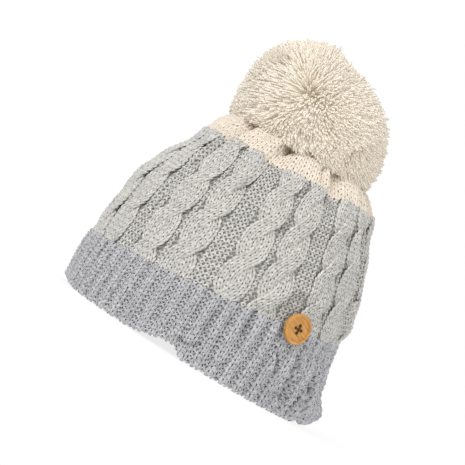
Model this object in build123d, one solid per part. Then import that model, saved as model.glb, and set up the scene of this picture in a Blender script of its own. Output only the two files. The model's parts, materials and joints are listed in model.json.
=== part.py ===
from build123d import *

import math
import os

# A knitted pom pom beanie, standing on its brim. All lengths are in millimetres and all
# angles in degrees. The origin is the centre of the brim, +Z points up through the pompom,
# and the wearer's front faces -Y. A turn is counted from the front towards +X.

# Cap: its outer face narrows from the brim by named amounts, at places measured up from the
# brim or down from the top, and has the wall of the knitted fabric.
brim_radius = 91.0
cap_height = 158.0
swell_height = 70.0
swell_narrowing = 4.0
slope_drop = 50.0
slope_narrowing = 15.0
shoulder_drop = 16.0
shoulder_narrowing = 33.0
crown_bend_drop = 6.0
crown_bend_narrowing = 49.0
fabric_wall = 5.0

# Where the yarn changes: grey rib below, cables in the middle, cream crown on top.
cuff_height = 46.0
crown_drop = 25.0

# Middle of the crown: the hole that is left, and the yarn that draws it together.
crown_hole_radius = 7.0
gather_yarn_radius = 1.3
gather_clearance = 0.2

# Seam down the inside of the back.
seam_turn = 180.0
seam_width = 3.3
seam_depth = 2.0
seam_start = 2.0
seam_end_radius = 14.0

# Pompom, its bound core, and the knotted tails that hold it on the crown.
pompom_radius = 52.5
pompom_centre_lift = 9.5
pompom_sway = 10.0
sway_margin = 1.0
core_radius = 8.0
core_height = 20.0
pivot_lift = 2.0
tail_ball_radius = 3.0
tail_radius = 2.2
tail_drop = 27.0
knot_radius = 5.5
loose_gap = 0.3

# Wooden button on the front, turned towards the wearer's left.
button_turn = 37.0
button_height = 54.6
button_radius = 10.0
button_thickness = 3.4
button_rim_width = 1.8
button_dish = 0.7
button_edge_round = 0.8
button_hole_radius = 1.1
button_hole_spacing = 5.0
sewing_thread_radius = 0.8
shank_length = 2.4
shank_radius = 2.6
shank_lift = 0.6
anchor_radius = 1.2
anchor_knot_radius = 3.0
anchor_knot_depth = 1.6
knot_seat_gap = 0.15

# Blank care label, sewn inside beside the seam.
label_turn = 165.0
label_top_height = 49.0
label_width = 24.0
label_length = 30.0
label_thickness = 0.6
stitch_radius = 0.4
stitch_count = 5
stitch_margin = 2.0

FULL_TURN = 360.0
OUTLINE_STEPS = 16


def outer_edge():
    """The cap's outer face in half section, from the brim up to the hole in the crown."""
    points = [
        (brim_radius, 0, 0),
        (brim_radius - swell_narrowing, 0, swell_height),
        (brim_radius - slope_narrowing, 0, cap_height - slope_drop),
        (brim_radius - shoulder_narrowing, 0, cap_height - shoulder_drop),
        (brim_radius - crown_bend_narrowing, 0, cap_height - crown_bend_drop),
        (crown_hole_radius, 0, cap_height),
    ]
    return Spline(*points, tangents=[(0, 0, 1), (-1, 0, 0)])


def inset_edge(inset):
    """The outer edge moved in by inset along its own normals."""
    edge = outer_edge()
    if inset == 0:
        return edge
    points = []
    for step in range(OUTLINE_STEPS + 1):
        place = edge @ (step / OUTLINE_STEPS)
        along = edge % (step / OUTLINE_STEPS)
        points.append((place.X - inset * along.Z, 0, place.Z + inset * along.X))
    return Spline(*points, tangents=[(0, 0, 1), (-1, 0, 0)])


def layer(outside, inside, angle=FULL_TURN):
    """A layer of the cap between two insets, turned about the axis by angle."""
    near = inset_edge(outside)
    far = inset_edge(inside)
    brim = Line(near @ 0, far @ 0)
    top = Line(near @ 1, far @ 1)
    face = make_face([near, top, far, brim])
    return revolve(face, Axis.Z, angle)


def slab(bottom, top, radius=2 * brim_radius):
    """A solid disc between two heights, for cutting and keeping."""
    return Pos(0, 0, (bottom + top) / 2) * Cylinder(radius, top - bottom)


def edge_at(height, inset):
    """Radius and outward lean of an inset face at a height."""
    edge = inset_edge(inset)
    low = 0.0
    high = 1.0
    while high - low > 1e-9:
        middle = (low + high) / 2
        if (edge @ middle).Z < height:
            low = middle
        else:
            high = middle
    along = edge % low
    return (edge @ low).X, math.degrees(math.atan2(-along.X, along.Z))


def outward(turn, radius, height, lean=0.0):
    """A place on the cap whose local Z points out of the fabric and whose local Y points up."""
    return Rot(0, 0, turn) * Pos(0, -radius, height) * Rot(90 - lean, 0, 0)


def cap_wall():
    """The whole knitted wall, with the hole that the button's thread passes through."""
    hole = button_place() * Cylinder(anchor_radius, 4 * fabric_wall)
    return layer(0, fabric_wall) - hole


def rib_cuff(wall):
    return wall & slab(0, cuff_height)


def cable_body(wall):
    return wall & slab(cuff_height, cap_height - crown_drop)


def crown_knit(wall):
    return wall & slab(cap_height - crown_drop, 2 * cap_height)


def gather_ring_radius():
    """Radius of the drawn-up yarn's centre line, just inside the hole in the crown."""
    return crown_hole_radius - gather_yarn_radius - gather_clearance


def gather_height():
    return cap_height - fabric_wall / 2


def gather_yarn():
    return Pos(0, 0, gather_height()) * Torus(gather_ring_radius(), gather_yarn_radius)


def back_seam():
    """A ridge of seamed edges along the inner face, from the brim to the crown."""
    angle = math.degrees(seam_width / brim_radius)
    ridge = layer(fabric_wall, fabric_wall + seam_depth, angle)
    ridge = Rot(0, 0, seam_turn - 90 - angle / 2) * ridge
    return ridge & slab(seam_start, cap_height) - slab(0, 2 * cap_height, seam_end_radius)


def pivot_height():
    """Height of the point that the pompom sways about, just above the crown."""
    return cap_height + pivot_lift


def tie_knot_height():
    """The knot's centre, with loose_gap left under the drawn-up yarn."""
    reach = gather_yarn_radius + knot_radius + loose_gap
    drop = math.sqrt(reach**2 - gather_ring_radius() ** 2)
    return gather_height() - drop


def tie_tails():
    """Twisted tails with a round top knot, which the pompom's core sits on."""
    bottom = pivot_height() - tail_drop
    ball = Pos(0, 0, pivot_height()) * Sphere(tail_ball_radius)
    return slab(bottom, pivot_height(), tail_radius) + ball


def tie_knot():
    ball = Pos(0, 0, tie_knot_height()) * Sphere(knot_radius)
    return ball - slab(0, 2 * cap_height, tail_radius)


def core_bottom():
    return pivot_height() + 2 * loose_gap


def pompom_core():
    """The tightly bound middle of the pompom, hollowed below to fit over the top knot."""
    core = slab(core_bottom(), core_bottom() + core_height, core_radius)
    socket = Pos(0, 0, pivot_height()) * Sphere(tail_ball_radius + loose_gap)
    return core - socket


def crown_fall():
    """The least angle by which the crown falls away, seen from the pompom's pivot."""
    edge = outer_edge()
    angles = []
    for step in range(OUTLINE_STEPS + 1):
        place = edge @ (step / OUTLINE_STEPS)
        angles.append(math.degrees(math.atan2(pivot_height() - place.Z, place.X)))
    return min(angles)


def pompom_yarn():
    """A ball of yarn ends whose underside clears the crown at the end of its sway."""
    ball = Pos(0, 0, cap_height + pompom_centre_lift) * Sphere(pompom_radius)
    top = 3 * pompom_radius
    slope = pompom_sway + sway_margin - crown_fall()
    rise = top * math.tan(math.radians(slope))
    half = Polyline((0, 0), (top, rise), (top, 2 * top), (0, 2 * top), close=True)
    face = Plane.XZ * make_face(half)
    keep = Pos(0, 0, core_bottom()) * revolve(face, Axis.Z)
    return (ball & keep) - slab(0, core_bottom() + core_height, core_radius)


def button_place():
    """The point of the outer face that the button is sewn to."""
    radius, lean = edge_at(button_height, 0)
    return outward(button_turn, radius, button_height, lean)


def button_anchor():
    """Thread through the fabric, flush outside, with a flat knot inside."""
    inside = fabric_wall + knot_seat_gap
    knot = Cylinder(anchor_knot_radius, anchor_knot_depth)
    knot = Pos(0, 0, -inside - anchor_knot_depth / 2) * knot
    stem = Pos(0, 0, -inside / 2) * Cylinder(anchor_radius, inside)
    return button_place() * (knot + stem)


def button_shank():
    length = shank_length - shank_lift - loose_gap
    return button_place() * (Pos(0, 0, shank_lift + length / 2) * Cylinder(shank_radius, length))


def on_the_holes(shape):
    """Four copies of a shape, on the button's holes, which stand in a diamond."""
    return Part() + PolarLocations(button_hole_spacing / 2, 4) * shape


def wooden_button():
    """A turned disc with a raised rim, a shallow dish and four sewing holes."""
    blank = Cylinder(button_radius, button_thickness)
    blank = fillet(blank.edges().filter_by(GeomType.CIRCLE), button_edge_round)
    dish_radius = button_radius - button_rim_width
    dish = Pos(0, 0, button_thickness / 2) * Cylinder(dish_radius, 2 * button_dish)
    holes = on_the_holes(Cylinder(button_hole_radius, 2 * button_thickness))
    disc = blank - dish - holes
    return button_place() * (Pos(0, 0, shank_length + button_thickness / 2) * disc)


def button_thread():
    """Two crossed stitches over the dish, with a leg down each of the four holes."""
    dish_face = shank_length + button_thickness - button_dish
    leg_height = dish_face + sewing_thread_radius - shank_length
    leg = Cylinder(sewing_thread_radius, leg_height)
    legs = Pos(0, 0, shank_length + leg_height / 2) * on_the_holes(leg)
    bar = Rot(0, 90, 0) * Cylinder(sewing_thread_radius, button_hole_spacing)
    bends = on_the_holes(Sphere(sewing_thread_radius))
    cross = Pos(0, 0, dish_face + sewing_thread_radius) * (bar + Rot(0, 0, 90) * bar + bends)
    return button_place() * (legs + cross)


def label_distance():
    """Distance from the axis to the label's middle, clear of the curved inner face."""
    top_radius, lean = edge_at(label_top_height, fabric_wall)
    bottom_radius, lean = edge_at(label_top_height - label_length, fabric_wall)
    corner = min(top_radius, bottom_radius) - 2 * loose_gap
    return math.sqrt(corner**2 - (label_width / 2) ** 2) - label_thickness / 2


def label_place():
    """The middle of the label's top edge, with local Z out through the wall and Y up."""
    return outward(label_turn, label_distance(), label_top_height)


def care_label():
    flap = Pos(0, -label_length / 2, 0) * Box(label_width, label_length, label_thickness)
    return label_place() * flap


def label_stitches():
    """A line of thread along the label's top edge, with a stitch out to the wall at each step."""
    height = label_thickness / 2 + loose_gap + stitch_radius
    span = label_width - 2 * stitch_margin
    wall_radius, lean = edge_at(label_top_height + height + stitch_radius, fabric_wall)
    line = Pos(0, height, 0) * Rot(0, 90, 0) * Cylinder(stitch_radius, span)
    step = span / (stitch_count - 1)
    for number in range(stitch_count):
        across = number * step - span / 2
        corner = abs(across) + stitch_radius
        reach = math.sqrt(wall_radius**2 - corner**2) - label_distance() - knot_seat_gap
        line += Pos(across, height, reach / 2) * Cylinder(stitch_radius, reach)
    return label_place() * line


def main():
    wall = cap_wall()
    parts = {
        "rib_cuff": rib_cuff(wall),
        "cable_body": cable_body(wall),
        "crown_knit": crown_knit(wall),
        "gather_yarn": gather_yarn(),
        "back_seam": back_seam(),
        "tie_tails": tie_tails(),
        "tie_knot": tie_knot(),
        "pompom_core": pompom_core(),
        "pompom_yarn": pompom_yarn(),
        "button_anchor": button_anchor(),
        "button_shank": button_shank(),
        "wooden_button": wooden_button(),
        "button_thread": button_thread(),
        "care_label": care_label(),
        "label_stitches": label_stitches(),
    }
    os.makedirs("parts", exist_ok=True)
    for name, shape in parts.items():
        export_step(shape, f"parts/{name}.step")
        print(name, round(shape.volume, 1))


main()
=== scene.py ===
# %% [markdown]
# # A knitted pom pom beanie
# A knitted hat is one long yarn pulled through itself in loops. From a step away it is the
# loops that make it look knitted: the V of each knit stitch, the bump of each purl stitch,
# the furrows of the rib and the rope of the cables. So this lesson makes the yarn itself. It
# shapes one loop with bmesh, then knits thousands of copies of it onto the form of the hat.

# %% Load the frame
import json
import math

import bmesh
import bpy
import numpy as np
from mathutils import Matrix, Vector


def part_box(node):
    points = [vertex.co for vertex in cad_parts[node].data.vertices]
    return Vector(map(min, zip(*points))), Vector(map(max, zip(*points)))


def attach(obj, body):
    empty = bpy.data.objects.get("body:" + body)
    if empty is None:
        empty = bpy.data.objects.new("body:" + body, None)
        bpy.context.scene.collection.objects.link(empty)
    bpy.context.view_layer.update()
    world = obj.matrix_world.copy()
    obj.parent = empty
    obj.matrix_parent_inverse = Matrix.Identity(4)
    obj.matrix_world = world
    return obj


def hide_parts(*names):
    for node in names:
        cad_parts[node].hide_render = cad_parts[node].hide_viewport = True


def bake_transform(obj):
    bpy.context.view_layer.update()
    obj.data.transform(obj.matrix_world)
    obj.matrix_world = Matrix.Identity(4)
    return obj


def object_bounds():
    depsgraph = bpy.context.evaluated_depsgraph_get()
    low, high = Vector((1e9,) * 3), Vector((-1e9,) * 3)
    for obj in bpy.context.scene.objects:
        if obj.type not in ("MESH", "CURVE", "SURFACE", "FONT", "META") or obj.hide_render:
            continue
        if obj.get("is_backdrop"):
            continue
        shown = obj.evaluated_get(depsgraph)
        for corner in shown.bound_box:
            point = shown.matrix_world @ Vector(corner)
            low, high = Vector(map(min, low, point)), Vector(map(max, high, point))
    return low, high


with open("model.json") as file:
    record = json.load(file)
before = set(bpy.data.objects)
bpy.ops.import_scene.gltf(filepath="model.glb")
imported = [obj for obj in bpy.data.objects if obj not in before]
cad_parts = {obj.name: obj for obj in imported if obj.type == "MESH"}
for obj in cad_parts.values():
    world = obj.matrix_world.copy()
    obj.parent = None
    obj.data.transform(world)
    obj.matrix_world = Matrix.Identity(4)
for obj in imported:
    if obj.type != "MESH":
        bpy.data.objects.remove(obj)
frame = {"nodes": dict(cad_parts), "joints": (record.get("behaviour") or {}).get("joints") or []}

cad_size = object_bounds()
MM = 0.001
chance = np.random.default_rng(7)


def add_object(name, data):
    thing = bpy.data.objects.new(name, data)
    bpy.context.scene.collection.objects.link(thing)
    return thing


# %% [markdown]
# ## Sizes
# Everything sits on the CAD model, so its sizes come from the frame's boxes. All shapes below
# are worked out in millimetres, and turned into metres when a mesh is made.

# %% Sizes from the frame
def in_mm(node):
    low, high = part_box(node)
    return np.array(low) / MM, np.array(high) / MM


brim_radius = in_mm("rib_cuff")[1][0]
cap_top = in_mm("crown_knit")[1][2]
ball_low, ball_high = in_mm("pompom_yarn")
ball_radius = (ball_high[0] - ball_low[0]) / 2
ball_centre = ball_high[2] - ball_radius
print("brim radius", brim_radius, "cap top", cap_top, "pompom radius", ball_radius)

# %% [markdown]
# ## The camera
# A beanie is often shown lying back, with its axis leaning over in the picture. The camera
# looks level at the hat's front and is rolled, which leans the hat without moving it. A long
# lens keeps the ribs from fanning out.

# %% Place the camera
LEAN = math.radians(31.7)
RISE = math.radians(1.5)
AIM = Vector((-10.7, 0, 83.4)) * MM
DISTANCE = 2.6
VIEW_WIDTH = 302 * MM
SENSOR = 36


def place_camera():
    data = bpy.data.cameras.new("studio_camera")
    data.sensor_width = SENSOR
    data.lens = SENSOR * DISTANCE / VIEW_WIDTH
    data.clip_start = 0.1
    data.clip_end = 20
    camera = add_object("studio_camera", data)
    outward = Vector((0, -math.cos(RISE), math.sin(RISE)))
    level = outward.to_track_quat("Z", "Y").to_matrix().to_4x4()
    roll = Matrix.Rotation(LEAN, 4, "Z")
    camera.matrix_world = Matrix.Translation(AIM + outward * DISTANCE) @ level @ roll
    bpy.context.scene.camera = camera
    return camera


camera = place_camera()
print("lens", round(camera.data.lens, 1), "mm")

# %% [markdown]
# ## The form of the hat
# A form is what a knitter blocks a hat on. Here it is a function: give it a stitch number
# around the hat, a row number up the hat and a height above the fabric, and it gives a place
# in space. Yarn that is shaped flat, in stitches and rows, then wraps onto the hat by itself.
# The outline is a few points whose corners are cut until it runs smoothly.

# %% The outline from brim to crown
STITCHES = 153
CUFF_ROWS = 14
BODY_ROWS = 28
CROWN_ROWS = 16
STITCH_WIDTH = 3.6
ROW_HEIGHT = 3.4
FABRIC_DEPTH = 1.8


def smooth_line(points, rounds=4):
    """Cuts the corners of a line again and again, and keeps its ends."""
    line = np.array(points, float)
    for _ in range(rounds):
        near = line[:-1] * 0.75 + line[1:] * 0.25
        far = line[:-1] * 0.25 + line[1:] * 0.75
        middle = np.stack([near, far], 1).reshape(-1, line.shape[1])
        line = np.vstack([line[:1], middle, line[-1:]])
    return line


outline = smooth_line([
    (brim_radius - FABRIC_DEPTH, 0),
    (brim_radius - FABRIC_DEPTH, 40),
    (brim_radius - 4, 66),
    (brim_radius - 11, 92),
    (brim_radius - 19.5, 117),
    (brim_radius - 29, 136),
    (brim_radius - 41, cap_top - 10),
    (brim_radius - 57, cap_top - 3),
    (brim_radius - 70, cap_top - 1.5),
    (5, cap_top - 1.5),
])
outline_length = np.concatenate([[0], np.cumsum(np.hypot(*np.diff(outline, axis=0).T))])
outline_slope = np.gradient(outline, outline_length, axis=0)
full_length = outline_length[-1]
print("from brim to crown", round(full_length), "mm along the fabric")

# %% [markdown]
# ## How the fabric lies
# A knitted hat is never a perfect turned shape. The brim waves, one side of the cuff flares
# and folds, the button pulls the fabric in, and the crown falls into pleats where its
# drawstring gathers it. Each of these is a small function of the place on the fabric.

# %% Waves, folds, pleats and pulls
BUTTON_TURN = 37.0
BUTTON_HEIGHT = (in_mm("wooden_button")[0][2] + in_mm("wooden_button")[1][2]) / 2
REPEATS = 9
PURL_TURN = -8.0


def hump(value, middle, spread):
    """A smooth bump of height 1."""
    return np.exp(-(((value - middle) / spread) ** 2))


def step_up(value, start, end):
    """A smooth step from 0 at start to 1 at end."""
    part = np.clip((value - start) / (end - start), 0, 1)
    return part * part * (3 - 2 * part)


def apart(turn, other):
    """The signed angle from other to turn, in degrees."""
    return (turn - other + 180) % 360 - 180


def cuff_top(turn):
    """Height of the change from rib to cable, which rides up towards the button's side."""
    return 48 + 10 * np.sin(np.radians(turn))


def crown_start(turn):
    return 141 + 3 * np.sin(np.radians(turn + 20))


def brim_lift(turn):
    """How far the wavy brim lifts off the table, with a notch where the cuff is folded."""
    notch = 5.4 * step_up(turn, -25, -5) * step_up(-turn, -2, 4)
    left = 3.0 * hump(apart(turn, -84), 0, 14)
    right = 1.4 * hump(apart(turn, 82), 0, 12)
    wave = 1.0 + np.cos(np.radians(3 * apart(turn, 180)))
    return 1.5 + notch + left + right + 1.0 * wave * step_up(abs(apart(turn, 0)), 95, 130)


def flare(turn, along):
    """The curled lobe at the brim's side, and a side that swells and then sinks in above."""
    lobe = 10.0 * hump(apart(turn, 88), 0, 14) * hump(along, 9, 11)
    above = 1.8 * hump(apart(turn, 88), 0, 16) * hump(along, 30, 8)
    sunk = 4.2 * hump(apart(turn, -88), 0, 34) * hump(along, 130, 15)
    full = 2.6 * hump(apart(turn, -86), 0, 30) * hump(along, 90, 12)
    flat = 1.5 * hump(apart(turn, 86), 0, 30) * (hump(along, 126, 14) + hump(along, 54, 12))
    flat = flat + 1.2 * hump(apart(turn, -86), 0, 30) * (hump(along, 2, 10) + hump(along, 50, 14))
    return lobe + above - sunk + full - flat


# Each crease: lengths along the fabric from the brim, turns at those lengths, depth, width.
CREASES = (
    ((104, 112, 150, 168, 178), (-17, -16, -14, -9, -5), 3.4, 2.6),
    ((142, 150, 166, 176), (21, 21, 18, 17), 2.8, 2.4),
    ((64, 72, 92, 100), (-47, -47, -49, -49), 1.8, 2.4),
    ((106, 114, 146, 158), (-50, -48, -43, -41), 4.6, 3.0),
    ((58, 72, 80, 96, 116, 146, 158), (83, 81, 78, 73, 66, 59, 57), 4.4, 3.2),
    ((28, 36, 46, 54), (70, 72, 75, 77), 3.2, 2.6),
    ((98, 106, 118, 128), (12, 12, 13, 13), 1.6, 2.4),
    ((20, 24, 36, 40), (4, 4, 4, 4), 1.5, 1.6),
    ((20, 24, 38, 42), (10.3, 10.3, 10.3, 10.3), 1.5, 1.6),
    ((30, 36, 50, 54), (17.5, 17.5, 17.5, 17.5), 3.0, 1.8),
    ((20, 25, 34, 38), (40, 40, 37, 36), 4.0, 1.8),
    ((6, 12, 34, 42), (52, 52, 49, 48), 8.0, 3.2),
    ((-6, 2, 36, 46), (73, 71, 64, 63), 9.0, 3.4),
    ((2, 6, 14, 20), (-3, -2, 6, 9), 2.0, 1.8),
)


def creases(turn, along):
    """Each fold is a valley along its line, with a low bank on either side."""
    total = 0
    for heights, turns, depth, width in CREASES:
        line = np.interp(along, heights, turns)
        radius = np.interp(along, outline_length, outline[:, 0])
        across = np.radians(apart(turn, line)) * radius
        held = step_up(along, *heights[:2]) * step_up(-along, -heights[-1], -heights[-2])
        valley = hump(across, 0, width)
        banks = hump(abs(across), width * 2.1, width * 1.1)
        total = total + held * depth * (0.35 * banks - valley)
    return total


def pull_of_button(turn, along):
    """A dimple round the button, and the fold that it raises above and beside it."""
    across = apart(turn, BUTTON_TURN) * np.pi / 180 * brim_radius
    up = along - BUTTON_HEIGHT
    reach = np.hypot(across, up)
    facing = np.degrees(np.arctan2(up, across))
    side = hump(apart(facing, 118), 0, 55)
    dimple = -2.6 * hump(reach, 0, 12)
    furrow = -2.2 * hump(reach, 17.5, 3.6) * side
    ridge = 2.0 * hump(reach, 24, 5) * side
    return dimple + furrow + ridge


def pleats(turn, along):
    """The gathers, which deepen towards the crown and follow the purl columns."""
    around = np.cos(np.radians(apart(turn, PURL_TURN) * REPEATS))
    sharp = -np.maximum(around, 0) ** 2 * 1.3 + 0.5
    return 4.8 * sharp * step_up(along, 118, 156) * step_up(-along, -206, -185)


def slouch(turn, along):
    """Slow swells of a soft fabric that nothing holds out."""
    slow = np.sin(np.radians(2 * turn + 40)) + 0.7 * np.sin(np.radians(3 * turn - 70) + along / 26)
    return 0.9 * slow * step_up(along, 5, 40)


print("the button sits at", round(float(BUTTON_HEIGHT), 1), "mm")

# %% The form itself
PURL_MIDDLE = 15.0


def length_at(row, turn):
    """Distance along the fabric from the brim to a row, at a turn about the hat."""
    rib = cuff_top(turn)
    cream = crown_start(turn)
    in_cuff = row / CUFF_ROWS * rib
    in_body = rib + (row - CUFF_ROWS) / BODY_ROWS * (cream - rib)
    in_crown = cream + (row - CUFF_ROWS - BODY_ROWS) / CROWN_ROWS * (full_length - cream)
    along = np.where(row < CUFF_ROWS, in_cuff, in_body)
    return np.where(row < CUFF_ROWS + BODY_ROWS, along, in_crown)


def on_form(stitch, row, height):
    """Places in space for stitches around, rows up and heights above the fabric."""
    turn = apart(PURL_TURN + (stitch - PURL_MIDDLE) * 360 / STITCHES, 0)
    along = length_at(row, turn)
    radius = np.interp(along, outline_length, outline[:, 0])
    level = np.interp(along, outline_length, outline[:, 1])
    out = np.interp(along, outline_length, outline_slope[:, 1])
    up = -np.interp(along, outline_length, outline_slope[:, 0])
    level = level + np.minimum(along, 0)
    lie = height + flare(turn, along) + pull_of_button(turn, along)
    lie = lie + pleats(turn, along) + slouch(turn, along) + creases(turn, along)
    radius = radius + lie * out
    level = level + lie * up + brim_lift(turn) * step_up(-along, -46, -2)
    angle = np.radians(turn)
    return np.stack([radius * np.sin(angle), -radius * np.cos(angle), level], -1)


print("front of the brim at", np.round(on_form(np.array(15.5), np.array(0.0), 0.0), 1))

# %% [markdown]
# ## One length of yarn
# A stitch is short lengths of yarn. Each is a ring of points pushed along a path: a circle
# from bmesh, extruded and moved ring by ring, with its ends closed. Every corner also keeps
# how far along the yarn and how far around it lies, because the yarn's twist follows that.

# %% Shape a short length of yarn with bmesh
def carried_frames(path):
    """Forward, side and out at every point of a path, turned no more than the path turns."""
    forward = np.gradient(path, axis=0)
    forward /= np.linalg.norm(forward, axis=1, keepdims=True)
    start = (0, 0, 1) if abs(forward[0, 2]) < 0.9 else (1, 0, 0)
    side = np.cross(forward[0], start)
    sides = []
    for ahead in forward:
        side = side - ahead * (side @ ahead)
        side = side / np.linalg.norm(side)
        sides.append(side)
    sides = np.array(sides)
    return forward, sides, np.cross(sides, forward)


def grow(mesh, edges):
    """Extrudes edges, and gives the new corners and the new edges between them."""
    grown = bmesh.ops.extrude_edge_only(mesh, edges=edges)["geom"]
    last = [part for part in grown if isinstance(part, bmesh.types.BMVert)]
    edges = [part for part in grown if isinstance(part, bmesh.types.BMEdge)]
    return last, [edge for edge in edges if all(vert in last for vert in edge.verts)]


def yarn_length(path, widths, sides, flat=1.0):
    """A tube along a path, as points, faces and (along, around) for every face corner."""
    path = np.array(path, float)
    mesh = bmesh.new()
    ring_of = mesh.verts.layers.int.new("ring")
    side_of = mesh.verts.layers.int.new("side")
    last = bmesh.ops.create_circle(mesh, segments=sides, radius=1.0)["verts"]
    for number, vert in enumerate(last):
        vert[side_of] = number
    start_edges = edges = list(mesh.edges)
    before = Matrix.Identity(4)
    for number, (place, width, *axes) in enumerate(zip(path, widths, *carried_frames(path))):
        if number:
            last, edges = grow(mesh, edges)
        for vert in last:
            vert[ring_of] = number
        forward, side, out = (Vector(axis) for axis in axes)
        now = Matrix((side * width, out * width * flat, forward)).transposed().to_4x4()
        now.translation = Vector(place)
        bmesh.ops.transform(mesh, matrix=now @ before.inverted(), verts=last)
        before = now
    bmesh.ops.contextual_create(mesh, geom=start_edges)
    bmesh.ops.contextual_create(mesh, geom=edges)
    bmesh.ops.recalc_face_normals(mesh, faces=mesh.faces)
    mesh.verts.index_update()
    points = np.array([vert.co for vert in mesh.verts])
    faces, marks = [], []
    for face in mesh.faces:
        numbers = [vert[side_of] for vert in face.verts]
        rings = {vert[ring_of] for vert in face.verts}
        wraps = len(rings) == 2 and max(numbers) == sides - 1 and min(numbers) == 0
        faces.append([vert.index for vert in face.verts])
        for vert, number in zip(face.verts, numbers):
            around = sides if wraps and number == 0 else number
            marks.append((vert[ring_of] / (len(path) - 1), around / sides))
    mesh.free()
    return points, faces, np.array(marks)


def mirrored(length):
    """The same length of yarn turned over from left to right."""
    points, faces, marks = length
    order, start = [], 0
    for face in faces:
        order += list(range(start, start + len(face)))[::-1]
        start += len(face)
    return points * (-1, 1, 1), [face[::-1] for face in faces], marks[order]


def there_and_back(points):
    """A path that mirrors itself about its last point."""
    return points + [(-x, y, z) for x, y, z in points[-2::-1]]


KNIT_PATH = [
    (0.32, -1.1, -1.2),
    (0.46, -0.2, 0.0),
    (0.88, 0.95, 0.4),
    (1.24, 2.1, 0.3),
    (1.20, 3.2, -0.5),
    (0.85, 3.8, -1.2),
]
KNIT_WIDTHS = [0.60, 0.88, 0.98, 0.98, 0.84, 0.6]
PURL_PATH = there_and_back([(-1.95, 0.85, -0.3), (-1.25, 1.15, 0.05), (-0.6, 1.95, 0.25), (0, 2.3, 0.3)])
PURL_WIDTHS = [0.66, 0.80, 0.84, 0.84, 0.84, 0.80, 0.66]
FOOT_PATH = there_and_back([(-0.95, 0.75, -0.55), (-0.75, 0.1, -0.1), (0, -0.35, 0.1)])
FOOT_WIDTHS = [0.6, 0.78, 0.82, 0.78, 0.6]
knit_right = yarn_length(KNIT_PATH, KNIT_WIDTHS, 5, 0.85)
knit_left = mirrored(knit_right)
purl_bump = yarn_length(PURL_PATH, PURL_WIDTHS, 5, 0.9)
purl_foot = yarn_length(FOOT_PATH, FOOT_WIDTHS, 5, 0.9)
print("a knit leg has", len(knit_right[0]), "points and", len(knit_right[1]), "faces")

# %% [markdown]
# ## Knitting the copies
# Each copy of a length of yarn is moved to its stitch and row, still flat, and only then
# wrapped onto the form. NumPy does that to all copies at once. The copies of one piece share
# a mesh. Two UV maps go with it: Yarn holds the place along and around the yarn, and OFBake
# gives each length its own small square of one picture for the whole piece.

# %% Turn many flat copies into one mesh
def yarn_mesh(name, kinds):
    """kinds is a list of (length of yarn, places): places has a point for each copy's point."""
    places, faces, yarn, sheet, tones = [], [], [], [], []
    copies = sum(len(spots) for length, spots in kinds)
    across = math.ceil(math.sqrt(copies))
    done = first = 0
    for (points, shape, marks), spots in kinds:
        count = len(spots)
        places.append(spots.reshape(-1, 3))
        starts = first + np.arange(count) * len(points)
        corner = np.cumsum([0] + [len(f) for f in shape])
        number = done + np.arange(count)
        tile = np.stack([number % across, number // across], 1) / across
        for size in sorted({len(f) for f in shape}):
            some = [i for i, f in enumerate(shape) if len(f) == size]
            group = np.array([shape[i] for i in some])
            faces += (starts[:, None, None] + group).reshape(-1, size).tolist()
            picked = marks[np.concatenate([np.arange(corner[i], corner[i + 1]) for i in some])]
            yarn.append(np.tile(picked, (count, 1)))
            inset = 0.06 + 0.88 * picked
            sheet.append((tile[:, None] + inset / across).reshape(-1, 2))
        tones.append(np.repeat(chance.random(count), len(points)))
        done += count
        first += count * len(points)
    mesh = bpy.data.meshes.new(name)
    mesh.from_pydata((np.concatenate(places) * MM).tolist(), [], faces)
    for title, values in (("OFBake", sheet), ("Yarn", yarn)):
        layer = mesh.uv_layers.new(name=title)
        layer.uv.foreach_set("vector", np.concatenate(values).astype(np.float32).ravel())
    tone = mesh.attributes.new("tone", "FLOAT", "POINT")
    tone.data.foreach_set("value", np.concatenate(tones).astype(np.float32))
    mesh.shade_smooth()
    piece = add_object(name, mesh)
    mesh.calc_loop_triangles()
    print(name, "has", copies, "lengths of yarn and", len(mesh.loop_triangles), "triangles")
    return piece


WOBBLE = 0.03


def knitted(name, parts, lay):
    """parts is a list of (length of yarn, stitches, rows, extra). lay puts them on the form."""
    kinds = []
    for length, stitch, row, extra in parts:
        points = length[0]
        across = points[:, 0] / STITCH_WIDTH
        up = points[:, 1] / ROW_HEIGHT
        aside, ahead, taller = chance.normal(0, WOBBLE, (3, len(stitch), 1))
        height = points[:, 2] * (1 + 2 * taller)
        spots = lay(stitch[:, None] + aside, row[:, None] + ahead, across, up, height, extra)
        kinds.append((length, spots))
    return yarn_mesh(name, kinds)


# %% [markdown]
# ## The ribbed cuff
# The rib repeats two knit columns and one purl column. The knit pair stands up as a rounded
# ridge and the purl column sinks into the furrow between ridges.

# %% Knit the cuff
RIB = 3
RIB_RELIEF = 1.2


def rib_relief(stitch, row):
    """The ridges of the rib, some of them taller than others."""
    fade = step_up(-row, -CUFF_ROWS - 1.0, -CUFF_ROWS + 1.5)
    uneven = 1 + 0.5 * np.sin(stitch * 0.37 + 1.0) * np.sin(row * 0.45 + stitch * 0.21)
    return RIB_RELIEF * uneven * np.cos((stitch - 1.0) * 2 * np.pi / RIB) * fade


def lay_rib(stitch, row, across, up, height, extra):
    where = stitch + across
    level = row + up
    return on_form(where, level, height + rib_relief(where, level))


def rib_stitches(columns, rows):
    stitch = np.array([c + 0.5 for c in range(STITCHES) if c % RIB in columns])
    grid = np.meshgrid(stitch, np.array(rows, float))
    return grid[0].ravel(), grid[1].ravel()


def knit_cuff(name, rows):
    parts = []
    for columns, lengths in (((0, 1), (knit_left, knit_right)), ((2,), (purl_bump, purl_foot))):
        parts += [(length, *rib_stitches(columns, rows), None) for length in lengths]
    return knitted(name, parts, lay_rib)


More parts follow.
